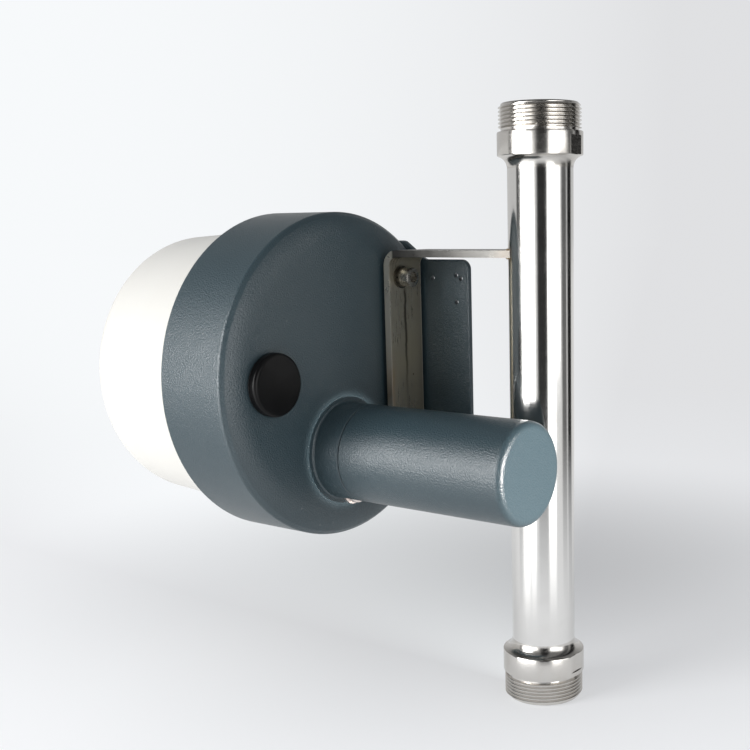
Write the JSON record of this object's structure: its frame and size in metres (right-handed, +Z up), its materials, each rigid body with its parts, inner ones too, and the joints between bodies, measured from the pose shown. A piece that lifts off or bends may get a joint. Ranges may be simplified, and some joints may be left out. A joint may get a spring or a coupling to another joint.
{
  "type": "variable area flow meter",
  "caption": "Metal tube variable area flow meter with threaded ends, a round pointer indicator behind glass and a screw-on battery cap.",
  "frame": {"origin": "centre of the inlet end face, on the axis of the measuring tube", "axes": "+Z up along the tube in the direction of flow, +Y from the dial to the back, so the dial faces -Y"},
  "size_m": [0.14, 0.1988, 0.25],
  "materials": {
    "stainless": "satin",
    "slate_coating": "semi-gloss",
    "cream_paint": "semi-gloss",
    "black_plastic": "satin",
    "rubber": "matt",
    "plated_steel": "satin",
    "brass": "satin",
    "bronze": "satin",
    "green_board": "satin",
    "cell_sleeve": "gloss",
    "dial_white": "matt",
    "pointer_red": "satin",
    "magnet": "satin",
    "glass": "clear"
  },
  "bodies": {
    "root": {"inlet_fitting": "stainless", "outlet_fitting": "stainless", "measuring_tube": "stainless", "lower_guide": "stainless", "upper_guide": "stainless", "guide_rod": "stainless", "lower_stop": "stainless", "upper_stop": "stainless", "mounting_bracket": "stainless", "bracket_screws": "stainless", "bracket_washers": "stainless", "bracket_spring_washers": "stainless", "rear_housing": "slate_coating", "cable_plug": "black_plastic", "plug_seal": "rubber", "plug_nut": "black_plastic", "earth_screw": "plated_steel", "earth_washer": "plated_steel", "cover_seal": "rubber", "cap_seal": "rubber", "contact_board": "green_board", "battery_cell": "cell_sleeve", "base_plate": "plated_steel", "base_plate_screws": "plated_steel", "bridge_plate": "brass", "bridge_pillars": "brass", "bridge_screws": "plated_steel", "rear_bearing": "bronze", "front_bearing": "bronze", "circuit_board": "green_board", "board_parts": "black_plastic", "rear_standoffs": "brass", "front_standoffs": "brass", "dial_plate": "dial_white", "dial_screws": "plated_steel", "display_module": "black_plastic"},
    "float": {"float_body": "stainless", "float_magnet": "magnet", "float_cap": "stainless"},
    "pointer": {"pointer_shaft": "stainless", "pointer": "pointer_red", "magnet_carrier": "brass", "follower_magnet": "magnet"},
    "front_cover": {"front_cover": "cream_paint", "window_gasket": "rubber", "window_glass": "glass", "window_ring": "plated_steel", "window_ring_screws": "plated_steel"},
    "battery_cap": {"battery_cap": "slate_coating", "cap_spring": "plated_steel"}
  },
  "joints": [
    {"name": "float_lift", "type": "slide", "parent": "root", "child": "float", "axis": [0, 0, 1], "range_m": [0, 0.08]},
    {"name": "pointer_turn", "type": "hinge", "parent": "root", "child": "pointer", "pos_m": [0.0335, -0.1635, 0.1385], "axis": [0, 1, 0], "range_deg": [0, 90]},
    {"name": "cover_off", "type": "slide", "parent": "root", "child": "front_cover", "axis": [0, -1, 0], "range_m": [0, 0.09]},
    {"name": "cap_off", "type": "slide", "parent": "root", "child": "battery_cap", "axis": [0, 1, 0], "range_m": [0, 0.09]}
  ],
  "couplings": [
    {"joint": "pointer_turn", "follows": "float_lift", "rad_per_m": 19.6}
  ]
}
